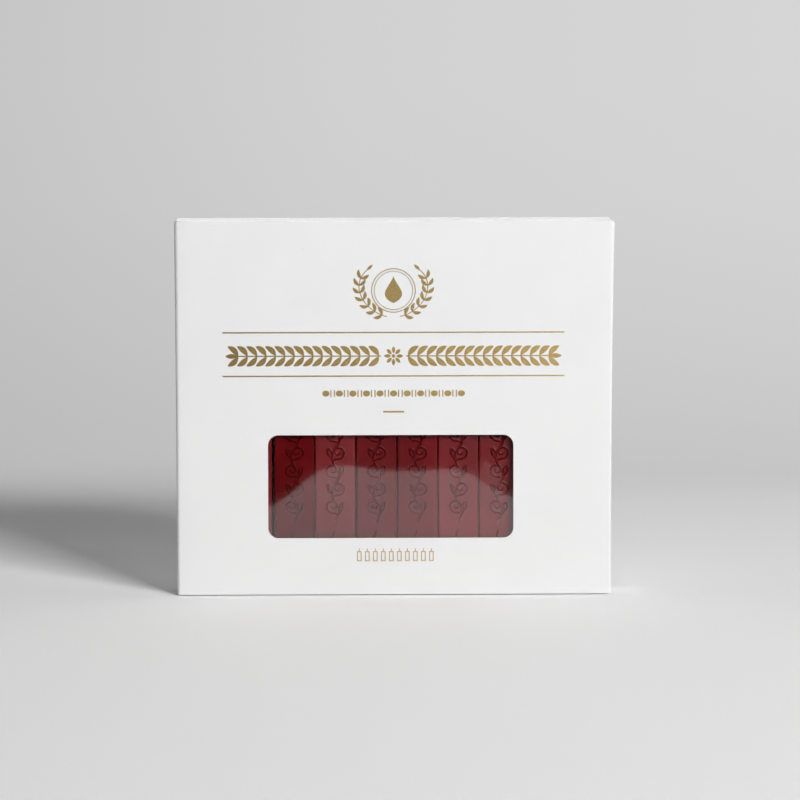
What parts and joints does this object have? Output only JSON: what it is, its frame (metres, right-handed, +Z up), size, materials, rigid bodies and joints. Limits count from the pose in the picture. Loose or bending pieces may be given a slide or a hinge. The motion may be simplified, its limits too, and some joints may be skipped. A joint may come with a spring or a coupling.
{
  "type": "wax seal set box",
  "caption": "White folding carton with a rounded film window, tuck closures at both ends and a row of square wax sticks with wicks inside.",
  "frame": {"origin": "middle of the footprint, on the surface the carton stands on", "axes": "+Z up, the window's side faces -Y, +X to the right as seen from the front"},
  "size_m": [0.118, 0.0138, 0.1019],
  "materials": {
    "board": "matte",
    "film": "gloss",
    "wax": "satin",
    "wick": "matte"
  },
  "bodies": {
    "carton": {"carton_sleeve": "board", "window_film": "film", "wax_stick_01": "wax", "wax_stick_02": "wax", "wax_stick_03": "wax", "wax_stick_04": "wax", "wax_stick_05": "wax", "wax_stick_06": "wax", "wax_stick_07": "wax", "wax_stick_08": "wax", "wax_stick_09": "wax", "wax_stick_10": "wax", "wick_01": "wick", "wick_02": "wick", "wick_03": "wick", "wick_04": "wick", "wick_05": "wick", "wick_06": "wick", "wick_07": "wick", "wick_08": "wick", "wick_09": "wick", "wick_10": "wick"},
    "top_closure": {"top_closure_panel": "board", "top_tuck_flap": "board"},
    "top_dust_left": {"top_dust_flap_left": "board"},
    "top_dust_right": {"top_dust_flap_right": "board"},
    "bottom_closure": {"bottom_closure_panel": "board", "bottom_tuck_flap": "board"},
    "bottom_dust_left": {"bottom_dust_flap_left": "board"},
    "bottom_dust_right": {"bottom_dust_flap_right": "board"}
  },
  "joints": [
    {"name": "top_closure_fold", "type": "hinge", "parent": "carton", "child": "top_closure", "pos_m": [0, 0.00685, 0.10185], "axis": [-1, 0, 0], "range_deg": [0, 180], "deforming": ["top_tuck_flap"]},
    {"name": "top_dust_left_fold", "type": "hinge", "parent": "carton", "child": "top_dust_left", "pos_m": [-0.059, 0, 0.10135], "axis": [0, -1, 0], "range_deg": [0, 45]},
    {"name": "top_dust_right_fold", "type": "hinge", "parent": "carton", "child": "top_dust_right", "pos_m": [0.059, 0, 0.10135], "axis": [0, 1, 0], "range_deg": [0, 45]},
    {"name": "bottom_closure_fold", "type": "hinge", "parent": "carton", "child": "bottom_closure", "pos_m": [0, 0.00685, 0], "axis": [1, 0, 0], "range_deg": [0, 180], "deforming": ["bottom_tuck_flap"]},
    {"name": "bottom_dust_left_fold", "type": "hinge", "parent": "carton", "child": "bottom_dust_left", "pos_m": [-0.059, 0, 0.0005], "axis": [0, 1, 0], "range_deg": [0, 45]},
    {"name": "bottom_dust_right_fold", "type": "hinge", "parent": "carton", "child": "bottom_dust_right", "pos_m": [0.059, 0, 0.0005], "axis": [0, -1, 0], "range_deg": [0, 45]}
  ],
  "couplings": [
    {"joint": "top_dust_left_fold", "follows": "top_closure_fold", "ratio": 0.25},
    {"joint": "top_dust_right_fold", "follows": "top_closure_fold", "ratio": 0.25},
    {"joint": "bottom_dust_left_fold", "follows": "bottom_closure_fold", "ratio": 0.25},
    {"joint": "bottom_dust_right_fold", "follows": "bottom_closure_fold", "ratio": 0.25}
  ]
}
